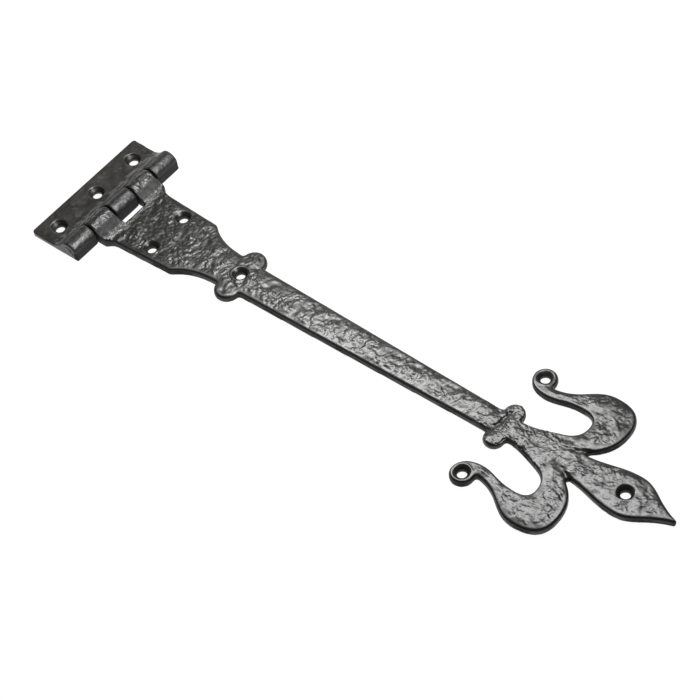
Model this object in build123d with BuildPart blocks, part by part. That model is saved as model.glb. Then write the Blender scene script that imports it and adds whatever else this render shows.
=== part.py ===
"""Cast iron tee hinge with a fleur-de-lis strap end, in millimetres.

The origin is at the foot of the pin's mid-length, on the flat back of the hinge. +X runs along the
strap to its tip, +Y along the pin, and +Z out of the face that shows.
"""

import os
from math import cos, hypot, radians, sin, sqrt

from build123d import *

# Barrel and pin
barrel_radius = 6.35
inner_knuckle_pitch = 17.5
knuckle_gap = 0.6
pin_radius = 2.4
pin_fit = 0.04
pin_running = 0.08
peen_radius = 3.3
peen_depth = 0.9
peen_proud = 0.4

# Frame leaf
leaf_length = 88.0
leaf_width = 30.0
leaf_edge_thickness = 5.3
leaf_waist_thickness = 4.5
leaf_cove_radius = 12.0
leaf_notch_clearance = 1.8
leaf_hole_inset = 10.4
leaf_hole_pitch = 31.75
leaf_corner_radius = 1.6
leaf_back_round = 2.5

# Screw holes, the same in both leaves
hole_radius = 2.75
sink_radius = 4.9
sink_angle = 90.0

# Strap root and body
strap_reach = 381.0
strap_thickness = 5.4
strap_cove_radius = 18.0
strap_slot_clearance = 4.5
slot_corner_radius = 1.5
shoulder_start = 11.4
shoulder_length = 6.0
body_half_width = 22.5
body_length = 57.0
body_end_half_width = 20.7
body_corner_radius = 3.0
ogee_length = 24.0
root_hole_x = 36.8
root_hole_half_pitch = 13.7

# Tapered bar with its round lobes and its collar
ogee_end_half_width = 12.0
bar_start_half_width = 11.1
bar_end_half_width = 7.5
lobe_x = 92.4
lobe_radius = 7.7
lobe_half_span = 19.2
collar_radius = 6.0
collar_half_span = 15.2
notch_radius = 1.4

# Fleur-de-lis, lengthwise sizes taken from the collar's centre and drops from the hooks' widest reach
fleur_length = 105.6
hook_half_span = 47.8
neck_start = 8.4
neck_half_width = 6.9
neck_bend_length = 24.9
neck_bend_half_width = 11.2
bay_length = 37.2
bay_drop = 24.0
bay_crown_setback = 8.3
bay_crown_rise = 6.8
eyelet_drop = 10.9
eyelet_radius = 6.9
eyelet_notch_angle = -25.0
eyelet_join_angle = 195.0
arm_waist_length = 8.6
arm_width = 6.2
arm_drop = 6.8
arm_bend_length = 21.6
arm_bend_drop = 8.4
hook_crown_length = 39.8
hook_side_length = 57.0
hook_side_drop = 16.1
crotch_length = 42.8
crotch_half_width = 8.4
petal_crown_length = 76.6
petal_half_width = 13.6
petal_hole_length = 75.6
petal_taper_length = 91.2
petal_taper_half_width = 7.9
tip_half_width = 0.9
strap_edge_bevel = 0.9

# Slopes of the strap's curves where they meet, as rise of half width along the strap
shoulder_slope = -0.9
ogee_start_slope = -0.88
ogee_end_slope = -0.03
neck_slope = 0.08
arm_slope = 0.05
crotch_slope = 0.62
petal_root_slope = -0.05
tip_slope = -0.3

# Tolerance for telling two points apart
same_point = 0.001

# Worked out from the sizes above
axis_height = barrel_radius
barrel_top = axis_height + barrel_radius
root_half_width = 1.5 * inner_knuckle_pitch - knuckle_gap / 2
slot_half_width = 0.5 * inner_knuckle_pitch + knuckle_gap / 2
leaf_bore_radius = pin_radius + pin_fit
strap_bore_radius = pin_radius + pin_running
collar_x = strap_reach - fleur_length
lobe_offset = lobe_half_span - lobe_radius
collar_offset = collar_half_span - collar_radius
eyelet_half_pitch = hook_half_span - eyelet_drop
bay_half_width = hook_half_span - bay_drop
hook_side_half_width = hook_half_span - hook_side_drop
leaf_hole_x = leaf_hole_inset - leaf_width
shoulder_end = shoulder_start + shoulder_length
flank_slope = (body_end_half_width - body_half_width) / (body_length - shoulder_end)
eyelet_join_tangent = (sin(radians(eyelet_join_angle)), -cos(radians(eyelet_join_angle)))


def cove(plate_height, cove_radius):
    """Return where a concave cove leaves a plate, and where it meets the barrel, both ahead of the pin."""
    rise = plate_height + cove_radius - axis_height
    reach = barrel_radius + cove_radius
    foot_x = sqrt(reach**2 - rise**2)
    share = barrel_radius / reach
    return (foot_x, plate_height), (foot_x * share, axis_height + rise * share)


def on_eyelet(degrees):
    """Return the point of the eyelet's rim at this angle from +X."""
    angle = radians(degrees)
    return (collar_x + eyelet_radius * cos(angle), eyelet_half_pitch + eyelet_radius * sin(angle))


def on_rim(vertex, centre_x, centre_y, radius):
    """Tell whether a vertex lies on this circle or on its mirror image across the strap's centre line."""
    return abs(hypot(vertex.X - centre_x, abs(vertex.Y) - centre_y) - radius) < same_point


def is_notch(vertex):
    """Tell whether a vertex of the strap's outline is one of its inside corners."""
    beside_lobe = on_rim(vertex, lobe_x, lobe_offset, lobe_radius)
    beside_collar = on_rim(vertex, collar_x, collar_offset, collar_radius)
    beside_eyelet = on_rim(vertex, *on_eyelet(eyelet_notch_angle), 0)
    at_crotch = on_rim(vertex, collar_x + crotch_length, crotch_half_width, 0)
    return beside_lobe or beside_collar or beside_eyelet or at_crotch


# Frame leaf: one section along the pin, notched for the two knuckles of the strap
leaf_foot, leaf_tangent = cove(leaf_waist_thickness, leaf_cove_radius)
with BuildPart() as frame_leaf:
    with BuildSketch(Plane.XZ) as leaf_section:
        with BuildLine():
            back = Line((barrel_radius, 0), (-leaf_width, 0))
            edge = Line(back @ 1, (-leaf_width, leaf_edge_thickness))
            dish = Line(edge @ 1, (-leaf_foot[0], leaf_foot[1]))
            rise = RadiusArc(dish @ 1, (-leaf_tangent[0], leaf_tangent[1]), -leaf_cove_radius)
            crown = ThreePointArc(rise @ 1, (0, barrel_top), (barrel_radius, axis_height))
            Line(crown @ 1, back @ 0)
        make_face()
    extrude(amount=leaf_length / 2, both=True)
    back_edges = frame_leaf.faces().sort_by(Axis.Z)[0].edges().sort_by(Axis.X)[1:]
    fillet(back_edges, leaf_back_round)
    corners = frame_leaf.edges().filter_by(Axis.Z).group_by(Axis.X)[0]
    fillet(corners, leaf_corner_radius)
    with BuildSketch(Plane.XY) as knuckle_notches:
        with Locations((barrel_radius, inner_knuckle_pitch), (barrel_radius, -inner_knuckle_pitch)):
            Rectangle(
                2 * barrel_radius + leaf_notch_clearance,
                inner_knuckle_pitch + knuckle_gap,
                align=(Align.MAX, Align.CENTER),
            )
    extrude(amount=barrel_top, mode=Mode.SUBTRACT)
    with BuildSketch(Plane.XZ) as leaf_bore:
        with Locations((0, axis_height)):
            Circle(leaf_bore_radius)
    extrude(amount=leaf_length / 2, both=True, mode=Mode.SUBTRACT)
    with BuildSketch(Plane.YZ) as peen_seat:
        with BuildLine():
            Polyline(
                (leaf_length / 2, axis_height),
                (leaf_length / 2, axis_height + peen_radius + pin_fit),
                (leaf_length / 2 - peen_depth, axis_height + leaf_bore_radius),
                (leaf_length / 2 - peen_depth, axis_height),
                close=True,
            )
        make_face()
        mirror(about=Plane.YZ)
    revolve(axis=Axis((0, 0, axis_height), (0, 1, 0)), mode=Mode.SUBTRACT)
    with Locations(Plane.XY.offset(leaf_waist_thickness)):
        with Locations(*[(leaf_hole_x, row * leaf_hole_pitch) for row in (-1, 0, 1)]):
            CounterSinkHole(hole_radius, sink_radius, counter_sink_angle=sink_angle)
frame_leaf.part.label = "frame_leaf"

# Strap: its side section and its plan outline, each drawn once and crossed
strap_foot, strap_tangent = cove(strap_thickness, strap_cove_radius)
with BuildPart() as strap_leaf:
    with BuildSketch(Plane.XZ) as strap_section:
        with BuildLine():
            back = Line((0, 0), (strap_reach, 0))
            end = Line(back @ 1, (strap_reach, strap_thickness))
            face = Line(end @ 1, strap_foot)
            rise = RadiusArc(face @ 1, strap_tangent, strap_cove_radius)
            ThreePointArc(rise @ 1, (-barrel_radius, axis_height), back @ 0)
        make_face()
    extrude(amount=hook_half_span, both=True)
    with BuildSketch(Plane.XY) as strap_outline:
        with BuildLine() as half_outline:
            root = Line((-2 * barrel_radius, 0), (-2 * barrel_radius, root_half_width))
            side = Line(root @ 1, (shoulder_start, root_half_width))
            shoulder = Spline(
                side @ 1,
                (shoulder_end, body_half_width),
                tangents=((1, shoulder_slope), (1, flank_slope)),
            )
            flank = Line(shoulder @ 1, (body_length, body_end_half_width))
            ogee = Spline(
                flank @ 1,
                (body_length + ogee_length, ogee_end_half_width),
                tangents=((1, ogee_start_slope), (1, ogee_end_slope)),
            )
            taper = Polyline(
                ogee @ 1,
                (lobe_x, bar_start_half_width),
                (collar_x, bar_end_half_width),
                (collar_x + neck_start, neck_half_width),
            )
            neck = Spline(
                taper @ 1,
                (collar_x + neck_bend_length, neck_bend_half_width),
                (collar_x + bay_length, bay_half_width),
                tangents=((1, neck_slope), (0, 1)),
            )
            bay = Spline(
                neck @ 1,
                (collar_x + bay_length - bay_crown_setback, bay_half_width + bay_crown_rise),
                tangents=((0, 1), (-1, 0)),
            )
            arm_inside = Spline(
                bay @ 1,
                (collar_x + arm_waist_length, eyelet_half_pitch - arm_drop - arm_width / 2),
                on_eyelet(eyelet_join_angle),
                tangents=((-1, 0), eyelet_join_tangent),
            )
            eyelet = ThreePointArc(
                arm_inside @ 1,
                on_eyelet((eyelet_join_angle + eyelet_notch_angle) / 2),
                on_eyelet(eyelet_notch_angle),
            )
            arm_outside = Spline(
                eyelet @ 1,
                (collar_x + arm_bend_length, hook_half_span - arm_bend_drop),
                (collar_x + hook_crown_length, hook_half_span),
                tangents=((1, arm_slope), (1, 0)),
            )
            hook_top = Spline(
                arm_outside @ 1,
                (collar_x + hook_side_length, hook_side_half_width),
                tangents=((1, 0), (0, -1)),
            )
            hook_side = Spline(
                hook_top @ 1,
                (collar_x + crotch_length, crotch_half_width),
                tangents=((0, -1), (-1, -crotch_slope)),
            )
            petal_flank = Spline(
                hook_side @ 1,
                (collar_x + petal_crown_length, petal_half_width),
                tangents=((1, petal_root_slope), (1, 0)),
            )
            petal_end = Spline(
                petal_flank @ 1,
                (collar_x + petal_taper_length, petal_taper_half_width),
                (strap_reach, tip_half_width),
                tangents=((1, 0), (1, tip_slope)),
            )
            Line(petal_end @ 1, (strap_reach, 0))
            mirror(about=Plane.XZ)
        make_face()
        with Locations((lobe_x, lobe_offset), (lobe_x, -lobe_offset)):
            Circle(lobe_radius)
        with Locations((collar_x, collar_offset), (collar_x, -collar_offset)):
            Circle(collar_radius)
        notches = strap_outline.vertices().filter_by(is_notch)
        fillet(notches, notch_radius)
        body_corners = strap_outline.vertices().filter_by(lambda v: abs(v.X - body_length) < same_point)
        fillet(body_corners, body_corner_radius)
    extrude(amount=barrel_top, mode=Mode.INTERSECT)
    outer_edges = strap_leaf.faces().filter_by(Axis.Z).sort_by(Axis.Z)[-1].outer_wire().edges()
    bevelled_edges = outer_edges.filter_by(lambda e: e.center().X > strap_foot[0] + strap_edge_bevel)
    chamfer(bevelled_edges, strap_edge_bevel)
    with BuildSketch(Plane.XY) as knuckle_slot:
        with Locations((barrel_radius + strap_slot_clearance, 0)):
            Rectangle(
                2 * barrel_radius + strap_slot_clearance + slot_corner_radius,
                2 * slot_half_width,
                align=(Align.MAX, Align.CENTER),
            )
        fillet(knuckle_slot.vertices(), slot_corner_radius)
    extrude(amount=barrel_top, mode=Mode.SUBTRACT)
    with BuildSketch(Plane.XZ) as strap_bore:
        with Locations((0, axis_height)):
            Circle(strap_bore_radius)
    extrude(amount=root_half_width, both=True, mode=Mode.SUBTRACT)
    with Locations(Plane.XY.offset(strap_thickness)):
        with Locations(
            (root_hole_x, root_hole_half_pitch),
            (root_hole_x, -root_hole_half_pitch),
            (lobe_x, 0),
            (collar_x, eyelet_half_pitch),
            (collar_x, -eyelet_half_pitch),
            (collar_x + petal_hole_length, 0),
        ):
            CounterSinkHole(hole_radius, sink_radius, counter_sink_angle=sink_angle)
strap_leaf.part.label = "strap_leaf"

# Pin: a plain rod, each end hammered over into its seat
with BuildPart() as hinge_pin:
    with BuildSketch(Plane.YZ) as pin_half:
        with BuildLine():
            middle = Line((0, axis_height), (0, axis_height + pin_radius))
            rod = Line(middle @ 1, (leaf_length / 2 - peen_depth, axis_height + pin_radius))
            flare = Line(rod @ 1, (leaf_length / 2, axis_height + peen_radius))
            centre = Line(middle @ 0, (leaf_length / 2 + peen_proud, axis_height))
            TangentArc(centre @ 1, flare @ 1, tangent=(0, 1))
        make_face()
        mirror(about=Plane.YZ)
    revolve(axis=Axis((0, 0, axis_height), (0, 1, 0)))
hinge_pin.part.label = "hinge_pin"

os.makedirs("parts", exist_ok=True)
for piece in (frame_leaf, strap_leaf, hinge_pin):
    export_step(piece.part, f"parts/{piece.part.label}.step")
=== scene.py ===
"""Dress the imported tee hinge: two black painted iron castings on a peened pin.

The studio around it has a white table, soft lights close overhead and the photograph's camera.
"""

import logging
import math
from dataclasses import dataclass, field
from enum import Enum

import bmesh
import bpy
import numpy as np
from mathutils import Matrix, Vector, kdtree, noise


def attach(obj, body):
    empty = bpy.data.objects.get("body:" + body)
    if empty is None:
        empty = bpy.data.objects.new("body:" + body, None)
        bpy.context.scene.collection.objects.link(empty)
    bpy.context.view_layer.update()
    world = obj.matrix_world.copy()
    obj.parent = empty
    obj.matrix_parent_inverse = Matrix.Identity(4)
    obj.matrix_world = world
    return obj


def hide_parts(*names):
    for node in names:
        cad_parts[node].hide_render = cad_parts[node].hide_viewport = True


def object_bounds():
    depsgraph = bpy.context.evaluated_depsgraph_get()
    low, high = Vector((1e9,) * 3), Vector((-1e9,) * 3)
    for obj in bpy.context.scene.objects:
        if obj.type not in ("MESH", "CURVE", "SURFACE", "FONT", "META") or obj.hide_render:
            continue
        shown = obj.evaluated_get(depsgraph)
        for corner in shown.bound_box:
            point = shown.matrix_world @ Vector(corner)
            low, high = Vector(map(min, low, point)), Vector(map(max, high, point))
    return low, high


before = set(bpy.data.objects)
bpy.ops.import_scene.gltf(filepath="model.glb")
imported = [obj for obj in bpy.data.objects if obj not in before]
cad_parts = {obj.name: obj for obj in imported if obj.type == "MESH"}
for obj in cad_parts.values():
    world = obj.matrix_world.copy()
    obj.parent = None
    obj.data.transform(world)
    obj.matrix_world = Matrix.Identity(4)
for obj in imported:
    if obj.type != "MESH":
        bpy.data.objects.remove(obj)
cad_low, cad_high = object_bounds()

log = logging.getLogger("tee_hinge")

MM = 0.001
# Mesh attribute that paints shade into the colour, darker in hollows, creases and recesses, and dulls
# the gloss there
SHADE_AND_GLOSS_ATTRIBUTE = "shade_and_gloss"
MERGE_DISTANCE = 1e-6

# Noise that shapes the cast skin
NOISE_SHIFT = Vector((37.2, 11.9, 53.4))
SLANT = Vector((0.37, 0.52, 0.0))
TYPICAL_NOISE = 0.2872
PILLOW_GAIN = 2.0
RIPPLE_RATE = 1.9
PATCH_LEVEL = 0.75
PATCH_SWING = 0.9
CREASE_NARROWING = 0.5

Point = tuple[float, float]
Span = tuple[float, float]
Band = tuple[float, float, float, float]
Triple = tuple[float, float, float]
Colour = tuple[float, float, float]


class Zone(Enum):
    """Parts of the strap's surface that the foundry leaves in different states."""

    BAR = "root and bar face"
    FLEUR = "fleur face"
    WALL = "side wall"
    BARREL = "knuckles"
    COVE = "hollow in front of the knuckles"
    COLLAR = "collar and heart of the fleur"


class Profile(Enum):
    """Shapes across a fold in a casting's face."""

    VALLEY = "sharp at the bottom, alike on both sides"
    STEP = "steep on the left of its run, slow to rise on the right"
    RIDGE = "raised, round on top"


def fade(span: Span, value: np.ndarray) -> np.ndarray:
    """Blend smoothly from nought to one.

    Args:
        span: value at which the result leaves nought, and value at which it reaches one.
        value: numbers to blend.

    Returns:
        The blend for each number.
    """
    low, high = span
    share = np.clip((value - low) / (high - low), 0.0, 1.0)
    return share * share * (3.0 - 2.0 * share)


def within(band: Band, value: np.ndarray) -> np.ndarray:
    """Blend smoothly from nought up to one and back to nought.

    Args:
        band: values at which the result leaves nought, reaches one, leaves one and reaches nought.
        value: numbers to blend.

    Returns:
        The blend for each number.
    """
    return fade(band[:2], value) * (1.0 - fade(band[2:], value))


def nearest_on_run(
    spots: np.ndarray, line: tuple[Point, ...]
) -> tuple[np.ndarray, np.ndarray, np.ndarray]:
    """Find how near spots lie to a run of straight stretches, seen from above.

    Args:
        spots: places as rows of x and y, in millimetres.
        line: the corners of the run, in millimetres.

    Returns:
        The distance of each spot in millimetres, where along the run its nearest point is, from nought
        to one, and whether the spot lies to the left of the run.
    """
    corners = np.array(line)
    lengths = np.linalg.norm(np.diff(corners, axis=0), axis=1)
    nearest = np.full(len(spots), np.inf)
    share = np.zeros(len(spots))
    left = np.zeros(len(spots), bool)
    done = 0.0
    for origin, end, length in zip(corners[:-1], corners[1:], lengths):
        away, way = spots - origin, end - origin
        along = np.clip(away @ way / length**2, 0.0, 1.0)
        gap = np.linalg.norm(away - along[:, None] * way, axis=1)
        closer = gap < nearest
        share = np.where(closer, (done + along * length) / lengths.sum(), share)
        left = np.where(closer, way[0] * away[:, 1] - way[1] * away[:, 0] > 0.0, left)
        nearest = np.minimum(nearest, gap)
        done += length
    return nearest, share, left


@dataclass(frozen=True)
class CastRelief:
    """Lumps and wrinkles that a sand mould leaves on iron, all lengths in millimetres."""

    wrinkle_width: float
    wrinkle_length: float
    wrinkle_height: float
    ripple_share: float
    warp_size: float
    warp_reach: float
    dent_size: float
    dent_depth: float
    swell_size: float
    swell_depth: float
    patch_size: float
    calmest: float
    lean_degrees: float
    valley_round: float = 0.2

    def heights(self, spots: np.ndarray) -> np.ndarray:
        """Work out the relief at each spot.

        Args:
            spots: places as rows of x, y and z, in millimetres.

        Returns:
            Heights in millimetres, hollows below nought.
        """
        lean = math.radians(self.lean_degrees)
        across = Vector((math.cos(lean), -math.sin(lean), 0.0))
        along = Vector((math.sin(lean), math.cos(lean), 0.0))
        level = math.hypot(TYPICAL_NOISE, self.valley_round)
        result = np.empty(len(spots))
        for index, spot in enumerate(spots):
            place = Vector(spot)
            near = place / self.warp_size
            bend = Vector((noise.noise(near), noise.noise(near + NOISE_SHIFT), 0.0))
            moved = place + bend * self.warp_reach
            grain = Vector(
                (
                    moved.dot(across) / self.wrinkle_width,
                    moved.dot(along) / self.wrinkle_length,
                    (place.z + moved.dot(SLANT)) / self.wrinkle_width,
                )
            )
            pillow = PILLOW_GAIN * (math.hypot(noise.noise(grain), self.valley_round) - level)
            ripple = noise.noise(grain * RIPPLE_RATE + NOISE_SHIFT)
            patch = PATCH_LEVEL + PATCH_SWING * noise.noise(place / self.patch_size + NOISE_SHIFT)
            strength = self.wrinkle_height * min(max(patch, self.calmest), 1.0)
            dent = self.dent_depth * noise.noise(moved / self.dent_size)
            swell = self.swell_depth * noise.noise(place / self.swell_size - NOISE_SHIFT)
            result[index] = strength * (pillow + self.ripple_share * ripple) + dent + swell
        return result


@dataclass(frozen=True)
class Crease:
    """A fold in a casting's face, all lengths in millimetres."""

    profile: Profile
    line: tuple[Point, ...]
    depth: float
    width: float
    tail: float = 1.0
    slow_side: float = 1.9

    def heights(self, spots: np.ndarray) -> np.ndarray:
        """Work out the fold's height, which shrinks along the run to its tail.

        Args:
            spots: places as rows of x and y, in millimetres.

        Returns:
            Heights in millimetres.
        """
        gap, share, left = nearest_on_run(spots, self.line)
        strength = 1.0 + (self.tail - 1.0) * share
        reach = self.width * (1.0 - CREASE_NARROWING + CREASE_NARROWING * strength)
        if self.profile is Profile.RIDGE:
            return self.depth * strength * np.exp(-((gap / reach) ** 2))
        if self.profile is Profile.STEP:
            reach = np.where(left, reach, reach * self.slow_side)
        return -self.depth * strength * np.clip(1.0 - (gap / reach) ** 2, 0.0, 1.0) ** 2


@dataclass(frozen=True)
class Speckle:
    """Noise in a paint, sized in millimetres, with its finer octaves and their strength."""

    size_mm: float
    octaves: float
    strength: float
    depth_mm: float = 0.0

    def texture(self, tree: bpy.types.NodeTree, place: bpy.types.Node) -> bpy.types.NodeSocket:
        """Add the noise texture.

        Args:
            tree: node tree to add to.
            place: texture coordinate node.

        Returns:
            The socket with the noise's value.
        """
        texture = tree.nodes.new("ShaderNodeTexNoise")
        texture.inputs["Scale"].default_value = 1.0 / (self.size_mm * MM)
        texture.inputs["Detail"].default_value = self.octaves
        texture.inputs["Roughness"].default_value = self.strength
        tree.links.new(place.outputs["Object"], texture.inputs["Vector"])
        return texture.outputs["Fac"]

    def bump(
        self, tree: bpy.types.NodeTree, place: bpy.types.Node, under: bpy.types.NodeSocket | None
    ) -> bpy.types.NodeSocket:
        """Add the noise as a fine relief.

        Args:
            tree: node tree to add to.
            place: texture coordinate node.
            under: normals of the coarser relief that this one rides on, if any.

        Returns:
            The socket with the relief's normals.
        """
        node = tree.nodes.new("ShaderNodeBump")
        node.inputs["Strength"].default_value = 1.0
        node.inputs["Distance"].default_value = self.depth_mm * MM
        tree.links.new(self.texture(tree, place), node.inputs["Height"])
        if under is not None:
            tree.links.new(under, node.inputs["Normal"])
        return node.outputs["Normal"]


@dataclass(frozen=True)
class BlackPaint:
    """Black semi-gloss paint, thin enough to show the iron's skin."""

    name: str
    dark: Colour
    light: Colour
    clouds: Speckle
    sheen: Speckle
    grain: Speckle
    pits: Speckle
    smooth: float = 0.20
    rough: float = 0.30
    dull: float = 0.9
    specular: float = 0.5
    tone_span: Span = (0.1, 0.55)
    sheen_span: Span = (0.3, 0.7)
    dull_span: Span = (0.05, 0.4)

    def material(self) -> bpy.types.Material:
        """Make the node material.

        Returns:
            The paint as a Blender material that reads Object coordinates.
        """
        paint = bpy.data.materials.new(self.name)
        paint.use_nodes = True
        tree = paint.node_tree
        shader = tree.nodes["Principled BSDF"]
        place = tree.nodes.new("ShaderNodeTexCoord")
        # Painted shade: where this attribute is low the colour is darkened and the paint roughened
        shade_and_gloss = tree.nodes.new("ShaderNodeAttribute")
        shade_and_gloss.attribute_name = SHADE_AND_GLOSS_ATTRIBUTE
        lit_and_glossy = shade_and_gloss.outputs["Fac"]
        tree.links.new(self.colour(tree, place, lit_and_glossy), shader.inputs["Base Color"])
        tree.links.new(self.roughness(tree, place, lit_and_glossy), shader.inputs["Roughness"])
        shader.inputs["Specular IOR Level"].default_value = self.specular
        skin = self.grain.bump(tree, place, None)
        tree.links.new(self.pits.bump(tree, place, skin), shader.inputs["Normal"])
        return paint

    def colour(
        self, tree: bpy.types.NodeTree, place: bpy.types.Node, lit_and_glossy: bpy.types.NodeSocket
    ) -> bpy.types.NodeSocket:
        """Cloud the paint between its two tones, with painted shade: darker in the hollows, creases and
        recesses.

        Args:
            tree: node tree to add to.
            place: texture coordinate node.
            lit_and_glossy: low where shade is painted into the colour and the paint is dull, high on the
                lightest, glossiest lumps.

        Returns:
            The socket with the colour.
        """
        tone = self.joined(tree, "MULTIPLY", self.clouds.texture(tree, place), lit_and_glossy)
        ramp = tree.nodes.new("ShaderNodeValToRGB")
        for stop, position, tint in zip(
            ramp.color_ramp.elements, self.tone_span, (self.dark, self.light)
        ):
            stop.position = position
            stop.color = (*tint, 1.0)
        tree.links.new(tone, ramp.inputs["Fac"])
        return ramp.outputs["Color"]

    def roughness(
        self, tree: bpy.types.NodeTree, place: bpy.types.Node, lit_and_glossy: bpy.types.NodeSocket
    ) -> bpy.types.NodeSocket:
        """Vary the gloss in patches, and dull it in the hollows.

        Args:
            tree: node tree to add to.
            place: texture coordinate node.
            lit_and_glossy: low where shade is painted into the colour and the paint is dull, high on the
                lightest, glossiest lumps.

        Returns:
            The socket with the roughness.
        """
        patches = self.sheen.texture(tree, place)
        gloss = self.mapped(tree, patches, self.sheen_span, (self.smooth, self.rough))
        dull = self.mapped(tree, lit_and_glossy, self.dull_span, (self.dull, 0.0))
        return self.joined(tree, "MAXIMUM", gloss, dull)

    def joined(
        self,
        tree: bpy.types.NodeTree,
        operation: str,
        first: bpy.types.NodeSocket,
        second: bpy.types.NodeSocket,
    ) -> bpy.types.NodeSocket:
        """Join two values by arithmetic.

        Args:
            tree: node tree to add to.
            operation: the math node's operation.
            first: one value.
            second: the other value.

        Returns:
            The socket with the result.
        """
        node = tree.nodes.new("ShaderNodeMath")
        node.operation = operation
        tree.links.new(first, node.inputs[0])
        tree.links.new(second, node.inputs[1])
        return node.outputs[0]

    def mapped(
        self, tree: bpy.types.NodeTree, value: bpy.types.NodeSocket, span: Span, ends: Span
    ) -> bpy.types.NodeSocket:
        """Stretch a value's span onto other ends.

        Args:
            tree: node tree to add to.
            value: value to stretch.
            span: the span of the value.
            ends: what the span's two ends become.

        Returns:
            The socket with the result.
        """
        node = tree.nodes.new("ShaderNodeMapRange")
        node.inputs["From Min"].default_value, node.inputs["From Max"].default_value = span
        node.inputs["To Min"].default_value, node.inputs["To Max"].default_value = ends
        tree.links.new(value, node.inputs["Value"])
        return node.outputs["Result"]


@dataclass
class Casting:
    """One piece of the hinge, remade from its CAD solid with the skin of the real one.

    Lengths are in millimetres, and a tilt is how much of a normal points along an axis.
    """

    node: str
    body: str
    slot: str
    piece: str
    paint: BlackPaint
    voxel: float
    soften_rounds: int
    triangle_share: float
    holes: tuple[Point, ...] = ()
    soften_factor: float = 0.5
    knuckle_rounds: int = 20
    knuckle_edge: float = 7.2
    bore_edge: float = 3.6
    back_rounds: int = 12
    back_edge: float = 1.4
    pin_height: float = 6.35
    skin_off_bore: Span = (4.0, 5.0)
    knuckle_end_tilt: Span = (0.5, 0.9)
    barrel_sink: float = 0.15
    # Duller, darker knuckles, painted shade in the countersinks, and the base level of the paint's
    # lightness and gloss
    barrel_dullness: float = 0.54
    sink_shade_reach: Span = (4.3, 5.0)
    lit_and_glossy_level: float = 0.62

    def build(self) -> bpy.types.Object:
        """Make the piece and attach it to its body's empty.

        Returns:
            The finished object, riding on its body.
        """
        obj = self.merged_copy()
        self.remesh(obj)
        self.soften(obj)
        self.sculpt(obj.data)
        self.thin_out(obj)
        obj.data.shade_smooth()
        obj.data.materials.clear()
        obj.data.materials.append(self.paint.material())
        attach(obj, self.body)
        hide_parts(self.node)
        log.info("%s: %d faces", self.piece, len(obj.data.polygons))
        return obj

    def merged_copy(self) -> bpy.types.Object:
        """Copy the CAD solid with its loose triangles joined.

        Returns:
            The copy, as an object of its own.
        """
        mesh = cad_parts[self.node].data.copy()
        mesh.name = self.piece
        shell = bmesh.new()
        shell.from_mesh(mesh)
        bmesh.ops.remove_doubles(shell, verts=shell.verts, dist=MERGE_DISTANCE)
        shell.to_mesh(mesh)
        shell.free()
        obj = bpy.data.objects.new(self.piece, mesh)
        bpy.context.scene.collection.objects.link(obj)
        return obj

    def apply_modifiers(self, obj: bpy.types.Object) -> None:
        """Turn live modifiers into plain mesh.

        Args:
            obj: object whose modifiers are applied.
        """
        graph = bpy.context.evaluated_depsgraph_get()
        mesh = bpy.data.meshes.new_from_object(obj.evaluated_get(graph))
        obj.modifiers.clear()
        obj.data = mesh
        mesh.name = self.piece

    def remesh(self, obj: bpy.types.Object) -> None:
        """Give the solid an even skin of small faces.

        Args:
            obj: object to change.
        """
        skin = obj.modifiers.new("skin", "REMESH")
        skin.mode = "VOXEL"
        skin.voxel_size = self.voxel * MM
        skin.adaptivity = 0.0
        self.apply_modifiers(obj)

    def soften(self, obj: bpy.types.Object) -> None:
        """Even out the skin, and round the knuckles and the back further as mould and paint do.

        Args:
            obj: object to change.
        """
        shell = bmesh.new()
        shell.from_mesh(obj.data)
        outside = [v for v in shell.verts if self.from_pin(v.co) > self.bore_edge * MM]
        knuckles = [v for v in outside if self.from_pin(v.co) < self.knuckle_edge * MM]
        back = [v for v in outside if v.co.z < self.back_edge * MM]
        passes = (
            (self.soften_rounds, outside),
            (self.knuckle_rounds, knuckles),
            (self.back_rounds, back),
        )
        for rounds, verts in passes:
            for _ in range(rounds):
                bmesh.ops.smooth_vert(
                    shell,
                    verts=verts,
                    factor=self.soften_factor,
                    use_axis_x=True,
                    use_axis_y=True,
                    use_axis_z=True,
                )
        shell.to_mesh(obj.data)
        shell.free()

    def thin_out(self, obj: bpy.types.Object) -> None:
        """Drop faces where the surface is flat, unless all of them stay.

        Args:
            obj: object to change.
        """
        if self.triangle_share >= 1.0:
            return
        thinner = obj.modifiers.new("thinner", "DECIMATE")
        thinner.ratio = self.triangle_share
        self.apply_modifiers(obj)

    def read(self, mesh: bpy.types.Mesh) -> tuple[np.ndarray, np.ndarray]:
        """Read the mesh's points.

        Args:
            mesh: mesh to read.

        Returns:
            Places in millimetres and normals, one row each.
        """
        places = np.empty(len(mesh.vertices) * 3, np.float32)
        normals = np.empty(len(mesh.vertices) * 3, np.float32)
        mesh.vertices.foreach_get("co", places)
        mesh.vertices.foreach_get("normal", normals)
        return places.reshape(-1, 3).astype(float) / MM, normals.reshape(-1, 3).astype(float)

    def write(self, mesh: bpy.types.Mesh, places: np.ndarray, shade_and_gloss: np.ndarray) -> None:
        """Put moved points back, with the painted shade and gloss at each one.

        Args:
            mesh: mesh to change.
            places: new places in millimetres.
            shade_and_gloss: nought where the paint is darkest and dullest, as painted shade in hollows,
                creases and recesses, one on the lightest, glossiest lump.
        """
        inside = np.clip(places * MM, np.array(cad_low), np.array(cad_high))
        mesh.vertices.foreach_set("co", inside.astype(np.float32).ravel())
        layer = mesh.attributes.new(SHADE_AND_GLOSS_ATTRIBUTE, "FLOAT", "POINT")
        layer.data.foreach_set("value", shade_and_gloss.astype(np.float32))
        mesh.update()

    def from_pin(self, place: Vector) -> float:
        """Return a place's distance from the pin's axis, in metres."""
        return math.hypot(place.x, place.z - self.pin_height * MM)

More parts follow.
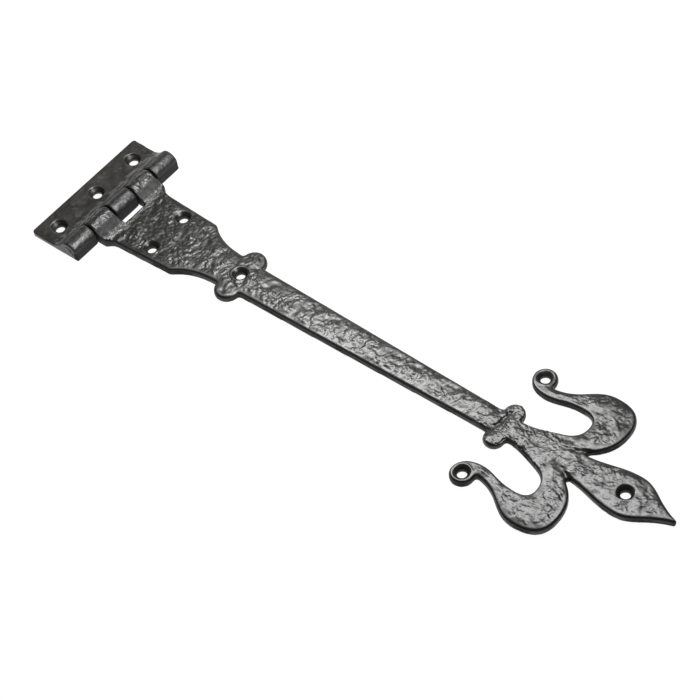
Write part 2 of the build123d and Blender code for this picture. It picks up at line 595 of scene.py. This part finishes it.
    def pin_distance(self, places: np.ndarray) -> np.ndarray:
        """Return each place's distance from the pin's axis, in millimetres."""
        return np.hypot(places[:, 0], places[:, 2] - self.pin_height)

    def hole_distance(self, places: np.ndarray) -> np.ndarray:
        """Return each place's distance from the nearest screw hole's axis, in millimetres."""
        return np.min([np.hypot(places[:, 0] - x, places[:, 1] - y) for x, y in self.holes], axis=0)

    def sculpt(self, mesh: bpy.types.Mesh) -> None:
        """Raise the cast skin on a mesh; each piece has its own way."""
        raise NotImplementedError


@dataclass
class StrapLeaf(Casting):
    """The long strap with its wrinkled face, crowned edges and creases."""

    reliefs: dict[Zone, CastRelief] = field(default_factory=dict)
    creases: tuple[Crease, ...] = ()
    top: float = 5.4

    # Where each zone begins and ends
    sunk_zones: tuple[Zone, ...] = (Zone.BARREL, Zone.COVE)
    barrel_end: Span = (6.0, 9.0)
    cove_end: Span = (14.0, 16.5)
    collar_band: Band = (257.0, 266.0, 292.0, 312.0)
    collar_half_width: Span = (17.0, 20.0)
    collar_share: float = 0.85
    fleur_start: Span = (262.0, 282.0)
    fleur_middle: float = 300.0
    fleur_calm: float = 0.3
    fleur_calm_reach: Span = (22.0, 55.0)
    calm_rim: Span = (1.2, 4.6)
    calm_share: float = 0.12
    face_tilt: Span = (0.35, 0.8)
    cove_tilt: Span = (0.2, 0.5)
    side_tilt: Span = (0.3, 0.7)
    front_height: Span = (3.0, 5.0)
    skin_off_hole: Span = (4.9, 6.3)
    wall_skin_start: Span = (20.0, 24.0)
    wall_skin_off_hole: Span = (5.6, 7.0)
    skin_least: float = 0.001

    # Rounded rim and crowned face
    wall_height: Span = (1.2, 4.2)
    wall_tilt: float = 0.3
    wall_off_hole: float = 5.6
    underside_tilt: float = -0.3
    rim_radius: float = 1.5
    rim_start: float = 19.0
    rim_off_hole: float = 4.8
    rim_neighbours: int = 4
    slot_half_width: float = 8.6
    slot_end: float = 9.6
    crown_width: float = 9.0
    crown_depth_bar: float = 1.0
    crown_depth_fleur: float = 0.85
    crown_root_share: float = 0.35
    crown_start: Span = (16.5, 19.5)
    crown_grows: Span = (50.0, 90.0)
    upper_wall: Span = (1.8, 4.2)

    # Creases, and dull paint with painted shade
    crease_sway: float = 0.9
    crease_sway_size: float = 3.0
    crease_heart: Span = (0.65, 1.0)
    crease_shade_and_dullness: float = 0.9
    front_band: Band = (3.5, 5.5, 9.5, 13.0)
    front_shade_and_dullness: float = 0.78
    dull_tilt: Span = (0.25, 0.6)
    wall_shade_and_dullness: float = 0.75
    sink_shade_and_dullness: float = 0.5
    barrel_dull_end: Span = (4.0, 7.0)
    relief_shade_and_gloss: float = 0.35

    def sculpt(self, mesh: bpy.types.Mesh) -> None:
        """Round the rim, wrinkle the face, crown its edges and press in the creases.

        Args:
            mesh: mesh to change.
        """
        self.round_rim(mesh)
        places, normals = self.read(mesh)
        rim = self.rim_distance(places, normals)
        lift = np.zeros(len(places))
        skin = np.zeros(len(places))
        for zone, mask in self.masks(places, normals, rim).items():
            relief = self.reliefs[zone]
            where = np.flatnonzero(mask > self.skin_least)
            height = relief.heights(places[where])
            skin[where] += mask[where] * height / relief.wrinkle_height
            if zone in self.sunk_zones:
                height = np.minimum(height - self.barrel_sink, 0.0)
            lift[where] += mask[where] * height
        upper = fade(self.upper_wall, places[:, 2]) * fade(self.barrel_end, places[:, 0])
        swayed = places[:, :2] + self.sway(places)
        rise = -self.crown_drop(places, rim)
        folded = np.zeros(len(places))
        for crease in self.creases:
            height = crease.heights(swayed)
            rise += upper * height
            # The heart of each crease gets painted shade and dull paint
            folded = np.maximum(folded, fade(self.crease_heart, -height / crease.depth))
        moved = places + normals * lift[:, None]
        moved[:, 2] += rise
        # Painted shade and dull paint from the creases, knuckle fronts, countersinks and side walls;
        # relief lumps painted lighter and hollows darker
        lit_and_gloss_share = 1.0 - np.maximum(self.shade_and_dullness(places, normals), self.crease_shade_and_dullness * folded)
        lit_and_glossy = np.clip(self.lit_and_glossy_level + self.relief_shade_and_gloss * skin, 0.0, 1.0)
        self.write(mesh, moved, lit_and_glossy * lit_and_gloss_share)

    def sway(self, places: np.ndarray) -> np.ndarray:
        """Return how far the creases stray from their drawn lines, as rows of x and y in millimetres."""
        near = [Vector(place) / self.crease_sway_size for place in places]
        return self.crease_sway * np.array(
            [(noise.noise(spot), noise.noise(spot + NOISE_SHIFT)) for spot in near]
        )

    def shade_and_dullness(self, places: np.ndarray, normals: np.ndarray) -> np.ndarray:
        """Work out where the paint is dull and painted darker: painted shade on the knuckles' fronts, in
        the countersinks and on the side walls, and duller, darker knuckles.

        Args:
            places: points in millimetres.
            normals: the points' normals.

        Returns:
            Nought where the paint is glossy and unshaded, one where it is dead flat and painted darkest.
        """
        front = within(self.front_band, places[:, 0])
        wall = 1.0 - fade(self.dull_tilt, np.abs(normals[:, 2]))
        sink = 1.0 - fade(self.sink_shade_reach, self.hole_distance(places))
        barrel = 1.0 - fade(self.barrel_dull_end, places[:, 0])
        return np.maximum.reduce(
            [
                self.front_shade_and_dullness * front,
                self.wall_shade_and_dullness * wall,
                self.sink_shade_and_dullness * sink,
                self.barrel_dullness * barrel,
            ]
        )

    def outline(
        self, places: np.ndarray, normals: np.ndarray
    ) -> tuple[kdtree.KDTree, np.ndarray]:
        """Gather the points of the strap's side walls.

        Args:
            places: points in millimetres.
            normals: the points' normals.

        Returns:
            A tree of the wall's points seen from above, and the way into the iron at each of them.
        """
        low, high = self.wall_height
        upright = np.abs(normals[:, 2]) < self.wall_tilt
        off_hole = self.hole_distance(places) > self.wall_off_hole
        wall = np.flatnonzero(upright & off_hole & (places[:, 2] > low) & (places[:, 2] < high))
        tree = kdtree.KDTree(len(wall))
        for index, (x, y, _) in enumerate(places[wall]):
            tree.insert((x, y, 0.0), index)
        tree.balance()
        inward = -normals[wall][:, :2]
        return tree, inward / np.linalg.norm(inward, axis=1)[:, None]

    def round_rim(self, mesh: bpy.types.Mesh) -> None:
        """Turn the face over into the side walls in a quarter round, as the casting does.

        Args:
            mesh: mesh to change.
        """
        places, normals = self.read(mesh)
        tree, inward = self.outline(places, normals)
        radius, foot = self.rim_radius, self.top - self.rim_radius
        at_slot = (np.abs(places[:, 1]) < self.slot_half_width) & (places[:, 0] > self.slot_end)
        reach = (places[:, 2] > foot) & ((places[:, 0] > self.rim_start) | at_slot)
        reach &= normals[:, 2] > self.underside_tilt
        reach &= self.hole_distance(places) > self.rim_off_hole
        for index in np.flatnonzero(reach):
            x, y, z = places[index]
            near = tree.find_n((x, y, 0.0), self.rim_neighbours)
            across, rise = radius - near[0][2], z - foot
            reached = math.hypot(across, rise)
            if across <= 0.0 or rise <= 0.0 or reached <= radius:
                continue
            way = np.mean([inward[found[1]] for found in near], axis=0)
            shrink = radius / reached
            places[index, :2] += way * across * (1.0 - shrink)
            places[index, 2] = foot + rise * shrink
        mesh.vertices.foreach_set("co", (places * MM).astype(np.float32).ravel())
        mesh.update()

    def masks(
        self, places: np.ndarray, normals: np.ndarray, rim: np.ndarray
    ) -> dict[Zone, np.ndarray]:
        """Work out how strongly each zone's skin shows.

        Args:
            places: points in millimetres.
            normals: the points' normals.
            rim: distance to the outline.

        Returns:
            A strength from nought to one at each point, by zone.
        """
        x, height, upright = places[:, 0], places[:, 2], normals[:, 2]
        from_hole = self.hole_distance(places)
        beyond_barrel = fade(self.barrel_end, x)
        beyond_cove = fade(self.cove_end, x)
        calm = self.calm_share + (1.0 - self.calm_share) * fade(self.calm_rim, rim)
        collar = self.collar_share * self.collar(places)
        upward = fade(self.face_tilt, upright) * fade(self.skin_off_hole, from_hole)
        face = upward * calm * beyond_cove * (1.0 - collar)
        fleur = fade(self.fleur_start, x)
        from_middle = np.hypot(x - self.fleur_middle, places[:, 1])
        outward = fade(self.fleur_calm_reach, from_middle)
        front = fade(self.skin_off_bore, self.pin_distance(places)) * fade(self.front_height, height)
        front *= 1.0 - fade(self.knuckle_end_tilt, np.abs(normals[:, 1]))
        cove = beyond_barrel * (1.0 - beyond_cove) * fade(self.cove_tilt, upright)
        sideways = 1.0 - fade(self.side_tilt, np.abs(upright))
        off_root = fade(self.wall_skin_off_hole, from_hole) * fade(self.wall_skin_start, x)
        return {
            Zone.BAR: face * (1.0 - fleur),
            Zone.FLEUR: face * fleur * (1.0 - self.fleur_calm * outward),
            Zone.WALL: sideways * off_root,
            Zone.BARREL: (1.0 - beyond_barrel) * front,
            Zone.COVE: cove * front,
            Zone.COLLAR: upward * collar,
        }

    def collar(self, places: np.ndarray) -> np.ndarray:
        """Return one at the collar and nought away from it, at each place."""
        beside = fade(self.collar_half_width, np.abs(places[:, 1]))
        return within(self.collar_band, places[:, 0]) * (1.0 - beside)

    def rim_distance(self, places: np.ndarray, normals: np.ndarray) -> np.ndarray:
        """Measure how far the face's points lie from the strap's outline.

        Args:
            places: points in millimetres.
            normals: the points' normals.

        Returns:
            The distance at each point in millimetres, at most the crown's width.
        """
        tree, _ = self.outline(places, normals)
        gap = np.full(len(places), self.crown_width)
        face = (normals[:, 2] > self.underside_tilt) & (places[:, 2] > self.upper_wall[0])
        for index in np.flatnonzero(face):
            x, y, _ = places[index]
            gap[index] = min(tree.find((x, y, 0.0))[2], self.crown_width)
        return gap

    def crown_drop(self, places: np.ndarray, rim: np.ndarray) -> np.ndarray:
        """Work out how far the face falls away towards its outline.

        Args:
            places: points in millimetres.
            rim: distance to the outline.

        Returns:
            The fall at each point in millimetres.
        """
        x = places[:, 0]
        strength = self.crown_root_share + (1.0 - self.crown_root_share) * fade(self.crown_grows, x)
        deeper = self.crown_depth_fleur - self.crown_depth_bar
        depth = self.crown_depth_bar + deeper * fade(self.fleur_start, x)
        upper = fade(self.upper_wall, places[:, 2]) * fade(self.crown_start, x)
        return upper * depth * strength * np.clip(1.0 - rim / self.crown_width, 0.0, 1.0) ** 2


@dataclass
class FrameLeaf(Casting):
    """The short leaf, smoother than the strap, with its mottled knuckles."""

    relief: CastRelief | None = None
    knuckle_relief: CastRelief | None = None
    ridges: tuple[Crease, ...] = ()

    # Where the skin lies
    skin_off_hole: Span = (4.9, 6.1)
    back_tilt: Span = (-0.6, -0.2)
    face_tilt: Span = (0.3, 0.7)
    calm_edge: Span = (0.6, 3.5)
    plate_end: Span = (-9.0, -7.0)
    knuckle_root: Span = (-10.0, -8.0)
    barrel_start: Span = (-8.0, -6.5)
    barrel_calm: float = 0.5
    knuckle_share: float = 0.45
    swept_by_strap: Span = (-12.0, -10.8)
    ridge_ripple: float = 2.0

    # Dull paint with painted shade
    front_start: Span = (2.5, 4.5)
    front_top: Span = (7.0, 9.0)
    front_shade_and_dullness: float = 0.9
    sink_shade_and_dullness: float = 0.62
    relief_shade_and_gloss: float = 0.6

    def sculpt(self, mesh: bpy.types.Mesh) -> None:
        """Mottle the face and the barrel, and raise the rough lips beside the strap's knuckles.

        Args:
            mesh: mesh to change.
        """
        places, normals = self.read(mesh)
        x, upright = places[:, 0], normals[:, 2]
        bare = self.relief.heights(places)
        swept = fade(self.swept_by_strap, x)
        sunk = bare + swept * (np.minimum(bare - self.barrel_sink, 0.0) - bare)
        barrel = fade(self.barrel_start, x)
        knuckle = np.minimum(self.knuckle_relief.heights(places) - self.barrel_sink, 0.0)
        height = sunk * (1.0 - self.barrel_calm * barrel) + self.knuckle_share * barrel * knuckle
        height *= self.mask(places, normals)
        for ridge in self.ridges:
            ripple = 1.0 + self.ridge_ripple * bare
            height += fade(self.face_tilt, upright) * ridge.heights(places[:, :2]) * ripple
        moved = places + normals * height[:, None]
        # Painted shade and dull paint on the knuckles' lower fronts and in the countersinks, duller and
        # darker knuckles; relief lumps painted lighter, hollows darker
        front = fade(self.front_start, x) * (1.0 - fade(self.front_top, places[:, 2]))
        sink = 1.0 - fade(self.sink_shade_reach, self.hole_distance(places))
        dull = np.maximum.reduce(
            [self.front_shade_and_dullness * front, self.sink_shade_and_dullness * sink, self.barrel_dullness * barrel]
        )
        lit_and_glossy = np.clip(self.lit_and_glossy_level + self.relief_shade_and_gloss * height, 0.0, 1.0)
        self.write(mesh, moved, lit_and_glossy * (1.0 - dull))

    def mask(self, places: np.ndarray, normals: np.ndarray) -> np.ndarray:
        """Work out how strongly the cast skin shows.

        Args:
            places: points in millimetres.
            normals: the points' normals.

        Returns:
            A strength from nought to one at each point.
        """
        x, beside = places[:, 0], np.abs(places[:, 1])
        clear = fade(self.skin_off_hole, self.hole_distance(places))
        outside_bore = fade(self.skin_off_bore, self.pin_distance(places))
        off_back = fade(self.back_tilt, normals[:, 2])
        at_end = fade(self.knuckle_end_tilt, np.abs(normals[:, 1])) * fade(self.knuckle_root, x)
        edge = np.minimum(x - x.min(), places[:, 1].max() - beside)
        off_plate = fade(self.plate_end, x)
        on_face = np.maximum(fade(self.face_tilt, normals[:, 2]), off_plate)
        off_edge = np.maximum(fade(self.calm_edge, edge), off_plate)
        return clear * outside_bore * off_back * (1.0 - at_end) * on_face * off_edge


@dataclass
class HingePin(Casting):
    """The pin, whose hammered ends show at the barrel's ends."""

    relief: CastRelief | None = None
    hammered: Span = (43.6, 44.0)

    def sculpt(self, mesh: bpy.types.Mesh) -> None:
        """Batter the two ends and leave the shank true.

        Args:
            mesh: mesh to change.
        """
        places, normals = self.read(mesh)
        height = self.relief.heights(places) * fade(self.hammered, np.abs(places[:, 1]))
        moved = places + normals * np.minimum(height, 0.0)[:, None]
        # Dents in the peened ends get painted shade, lumps a lighter paint
        self.write(mesh, moved, np.clip(self.lit_and_glossy_level + height, 0.0, 1.0))


@dataclass(frozen=True)
class Softbox:
    """A flat soft light that faces straight down until it is turned.

    Lengths are in metres and turns in degrees.
    """

    name: str
    place: Triple
    size: Point
    radiance: float
    turn: Triple = (0.0, 0.0, 0.0)

    def hang(self) -> None:
        """Put the light into the scene."""
        lamp = bpy.data.lights.new(self.name, "AREA")
        lamp.shape = "RECTANGLE"
        lamp.size, lamp.size_y = self.size
        lamp.energy = self.radiance * math.pi * self.size[0] * self.size[1]
        holder = bpy.data.objects.new(self.name, lamp)
        holder.location = self.place
        holder.rotation_euler = [math.radians(angle) for angle in self.turn]
        holder.visible_camera = False
        bpy.context.scene.collection.objects.link(holder)


@dataclass
class Studio:
    """White table, soft overhead light and the camera, lengths in metres."""

    floor_side: float = 8.0
    floor_middle: Point = (0.15, 0.0)
    floor_drop: float = 0.0003
    floor_colour: Colour = (0.06, 0.06, 0.06)
    floor_roughness: float = 0.9
    floor_specular: float = 0.1
    floor_glow: float = 0.98
    white: Colour = (1.0, 1.0, 1.0)
    world_light: float = 0.1
    softboxes: tuple[Softbox, ...] = (
        Softbox("fill_panel", place=(0.0, 0.1, 0.198), size=(0.7, 0.5), radiance=0.2),
        Softbox("wide_panel", place=(0.155, 0.07, 0.196), size=(0.49, 0.24), radiance=1.15),
        Softbox("soft_panel", place=(0.175, 0.07, 0.194), size=(0.43, 0.2), radiance=1.9),
        Softbox("middle_panel", place=(0.185, 0.07, 0.192), size=(0.36, 0.15), radiance=2.6),
        Softbox("key_strip", place=(0.0975, 0.044, 0.19), size=(0.145, 0.04), radiance=15.0),
        Softbox("tip_strip", place=(0.2525, 0.058, 0.19), size=(0.165, 0.05), radiance=8.4),
        Softbox(
            "back_wall", place=(-1.5, 1.5, 0.5), size=(3.0, 1.0), turn=(-90.0, 0.0, 45.0), radiance=1.2
        ),
    )
    camera_place: Triple = (0.6703, -0.4855, 0.8614)
    camera_turn: Triple = (38.352, 5.637, 38.772)
    camera_lens_mm: float = 104.36
    camera_sensor_mm: float = 36.0
    camera_near: float = 0.01

    def build(self) -> None:
        """Set up the floor, the lights and the camera."""
        self.floor()
        self.lights()
        self.camera()

    def floor(self) -> None:
        """Lay the pale table under the hinge."""
        mesh = bpy.data.meshes.new("table")
        shell = bmesh.new()
        bmesh.ops.create_grid(shell, x_segments=1, y_segments=1, size=self.floor_side / 2)
        bmesh.ops.translate(shell, verts=shell.verts, vec=(*self.floor_middle, -self.floor_drop))
        shell.to_mesh(mesh)
        shell.free()
        table = bpy.data.objects.new("table", mesh)
        bpy.context.scene.collection.objects.link(table)
        paint = bpy.data.materials.new("table_white")
        paint.use_nodes = True
        shader = paint.node_tree.nodes["Principled BSDF"]
        shader.inputs["Base Color"].default_value = (*self.floor_colour, 1.0)
        shader.inputs["Roughness"].default_value = self.floor_roughness
        shader.inputs["Specular IOR Level"].default_value = self.floor_specular
        shader.inputs["Emission Color"].default_value = (*self.white, 1.0)
        shader.inputs["Emission Strength"].default_value = self.floor_glow
        mesh.materials.append(paint)

    def lights(self) -> None:
        """Hang the softboxes over the table and fill the room with a low even light."""
        for box in self.softboxes:
            box.hang()
        room = bpy.data.worlds.new("room")
        room.use_nodes = True
        background = room.node_tree.nodes["Background"]
        background.inputs["Color"].default_value = (*self.white, 1.0)
        background.inputs["Strength"].default_value = self.world_light
        bpy.context.scene.world = room

    def camera(self) -> None:
        """Stand the camera where the photograph was taken."""
        lens = bpy.data.cameras.new("camera")
        lens.lens = self.camera_lens_mm
        lens.sensor_width = self.camera_sensor_mm
        lens.clip_start = self.camera_near
        camera = bpy.data.objects.new("camera", lens)
        camera.location = self.camera_place
        camera.rotation_euler = [math.radians(angle) for angle in self.camera_turn]
        bpy.context.scene.collection.objects.link(camera)
        bpy.context.scene.camera = camera
        bpy.context.scene.view_settings.view_transform = "Standard"


STRAP_PAINT = BlackPaint(
    name="strap_paint",
    dark=(0.004, 0.0039, 0.0035),
    light=(0.012, 0.0117, 0.0105),
    clouds=Speckle(size_mm=9.0, octaves=4.0, strength=0.6),
    sheen=Speckle(size_mm=4.05, octaves=3.0, strength=0.55),
    grain=Speckle(size_mm=1.1, octaves=3.0, strength=0.6, depth_mm=0.028),
    pits=Speckle(size_mm=0.35, octaves=2.0, strength=0.5, depth_mm=0.008),
)

LEAF_PAINT = BlackPaint(
    name="leaf_paint",
    dark=(0.002, 0.0019, 0.0017),
    light=(0.036, 0.0345, 0.0305),
    clouds=Speckle(size_mm=12.0, octaves=4.0, strength=0.6),
    sheen=Speckle(size_mm=5.4, octaves=3.0, strength=0.55),
    grain=Speckle(size_mm=1.6, octaves=3.0, strength=0.6, depth_mm=0.02),
    pits=Speckle(size_mm=0.4, octaves=2.0, strength=0.5, depth_mm=0.005),
)

BAR_RELIEF = CastRelief(
    wrinkle_width=2.0,
    wrinkle_length=4.8,
    wrinkle_height=0.62,
    ripple_share=0.4,
    warp_size=5.0,
    warp_reach=1.3,
    dent_size=3.4,
    dent_depth=0.45,
    swell_size=8.5,
    swell_depth=0.62,
    patch_size=9.0,
    calmest=0.12,
    lean_degrees=20.0,
    valley_round=0.45,
)

FLEUR_RELIEF = CastRelief(
    wrinkle_width=2.3,
    wrinkle_length=2.8,
    wrinkle_height=0.42,
    ripple_share=0.7,
    warp_size=3.0,
    warp_reach=1.5,
    dent_size=4.2,
    dent_depth=0.55,
    swell_size=9.0,
    swell_depth=0.65,
    patch_size=8.0,
    calmest=0.3,
    lean_degrees=40.0,
)

WALL_RELIEF = CastRelief(
    wrinkle_width=2.6,
    wrinkle_length=2.6,
    wrinkle_height=0.05,
    ripple_share=0.4,
    warp_size=5.0,
    warp_reach=1.0,
    dent_size=5.0,
    dent_depth=0.07,
    swell_size=14.0,
    swell_depth=0.12,
    patch_size=14.0,
    calmest=0.4,
    lean_degrees=0.0,
)

BARREL_RELIEF = CastRelief(
    wrinkle_width=2.1,
    wrinkle_length=2.8,
    wrinkle_height=0.34,
    ripple_share=0.5,
    warp_size=3.0,
    warp_reach=0.6,
    dent_size=3.0,
    dent_depth=0.3,
    swell_size=8.0,
    swell_depth=0.1,
    patch_size=6.0,
    calmest=0.5,
    lean_degrees=0.0,
)

COVE_RELIEF = CastRelief(
    wrinkle_width=1.2,
    wrinkle_length=1.3,
    wrinkle_height=0.3,
    ripple_share=0.7,
    warp_size=3.0,
    warp_reach=0.8,
    dent_size=2.6,
    dent_depth=0.25,
    swell_size=8.0,
    swell_depth=0.1,
    patch_size=6.0,
    calmest=0.6,
    lean_degrees=0.0,
)

COLLAR_RELIEF = CastRelief(
    wrinkle_width=1.7,
    wrinkle_length=2.1,
    wrinkle_height=0.6,
    ripple_share=0.6,
    warp_size=3.0,
    warp_reach=1.0,
    dent_size=3.4,
    dent_depth=0.6,
    swell_size=8.0,
    swell_depth=0.7,
    patch_size=8.0,
    calmest=0.45,
    lean_degrees=30.0,
)

LEAF_RELIEF = CastRelief(
    wrinkle_width=2.2,
    wrinkle_length=3.6,
    wrinkle_height=0.12,
    ripple_share=0.4,
    warp_size=5.0,
    warp_reach=1.5,
    dent_size=5.0,
    dent_depth=0.42,
    swell_size=9.0,
    swell_depth=0.3,
    patch_size=7.0,
    calmest=0.2,
    lean_degrees=25.0,
)

PEEN_RELIEF = CastRelief(
    wrinkle_width=1.3,
    wrinkle_length=1.3,
    wrinkle_height=0.4,
    ripple_share=0.5,
    warp_size=2.0,
    warp_reach=0.5,
    dent_size=2.5,
    dent_depth=0.3,
    swell_size=6.0,
    swell_depth=0.1,
    patch_size=3.0,
    calmest=0.5,
    lean_degrees=0.0,
)

FAR_LIP = Crease(
    Profile.RIDGE,
    line=((-10.2, 9.0), (-10.5, 17.0), (-10.2, 26.0)),
    depth=0.55,
    width=0.8,
)

NEAR_LIP = Crease(
    Profile.RIDGE,
    line=((-10.2, -26.0), (-10.5, -17.0), (-10.2, -9.0)),
    depth=0.55,
    width=0.8,
)

COLLAR_FOLD = Crease(
    Profile.STEP,
    line=((267.5, -12.0), (271.0, -7.5), (273.2, -2.5), (274.2, 2.0), (274.2, 6.5)),
    depth=1.3,
    width=2.6,
)

NEAR_NOTCH = Crease(
    Profile.VALLEY,
    line=((323.5, -9.4), (317.0, -6.9), (312.5, -4.8)),
    depth=1.9,
    width=2.6,
    tail=0.1,
)

FAR_NOTCH = Crease(
    Profile.VALLEY,
    line=((324.0, 10.9), (315.4, 6.8), (307.0, 4.4)),
    depth=1.5,
    width=2.4,
    tail=0.15,
)

ROOT_RIDGE = Crease(
    Profile.RIDGE,
    line=((17.2, -21.5), (16.8, 0.0), (17.2, 21.5)),
    depth=0.2,
    width=1.0,
)


def main() -> None:
    """Build the pieces in order, then the studio."""
    logging.basicConfig(level=logging.INFO, format="%(name)s: %(message)s")
    FrameLeaf(
        node="frame_leaf",
        body="frame",
        slot="black_iron",
        piece="frame_leaf_casting",
        paint=LEAF_PAINT,
        voxel=0.4,
        soften_rounds=4,
        triangle_share=1.0,
        relief=LEAF_RELIEF,
        knuckle_relief=BARREL_RELIEF,
        ridges=(FAR_LIP, NEAR_LIP),
        holes=((-19.6, -31.75), (-19.6, 0.0), (-19.6, 31.75)),
    ).build()
    StrapLeaf(
        node="strap_leaf",
        body="strap",
        slot="black_iron",
        piece="strap_leaf_casting",
        paint=STRAP_PAINT,
        voxel=0.45,
        soften_rounds=5,
        triangle_share=0.56,
        reliefs={
            Zone.BAR: BAR_RELIEF,
            Zone.FLEUR: FLEUR_RELIEF,
            Zone.WALL: WALL_RELIEF,
            Zone.BARREL: BARREL_RELIEF,
            Zone.COVE: COVE_RELIEF,
            Zone.COLLAR: COLLAR_RELIEF,
        },
        creases=(COLLAR_FOLD, NEAR_NOTCH, FAR_NOTCH, ROOT_RIDGE),
        holes=((36.8, 13.7), (36.8, -13.7), (92.4, 0.0), (275.4, 36.9), (275.4, -36.9), (351.0, 0.0)),
    ).build()
    HingePin(
        node="hinge_pin",
        body="frame",
        slot="pin_steel",
        piece="hinge_pin_peened",
        paint=LEAF_PAINT,
        voxel=0.25,
        soften_rounds=1,
        triangle_share=0.4,
        relief=PEEN_RELIEF,
    ).build()
    Studio().build()


if __name__ == "__main__":
    main()
